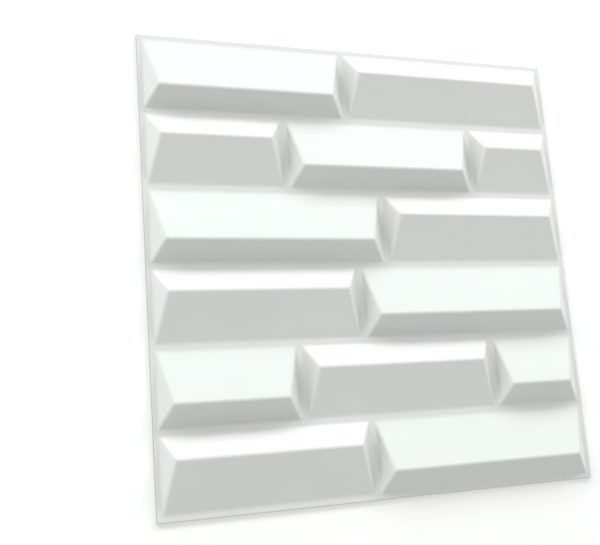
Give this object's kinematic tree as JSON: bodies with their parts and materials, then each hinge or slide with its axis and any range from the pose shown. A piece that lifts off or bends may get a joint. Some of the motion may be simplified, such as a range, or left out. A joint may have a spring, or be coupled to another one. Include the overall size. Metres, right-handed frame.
{
  "type": "3d wall panel tile",
  "caption": "Square white moulded wall panel with staggered courses of long hipped blocks raised from a thin flat sheet, hollow from the back.",
  "frame": {"origin": "centre of the panel's back, in the plane that lies on the floor or against the wall", "axes": "+X along the courses of blocks, +Y across them towards the top edge of the panel on a wall, +Z out of the face"},
  "size_m": [0.5, 0.5, 0.0136],
  "materials": {
    "matt_white_sheet": "matt white, as moulded, with soft edges"
  },
  "bodies": {
    "root": {"panel": "matt_white_sheet"}
  },
  "joints": []
}
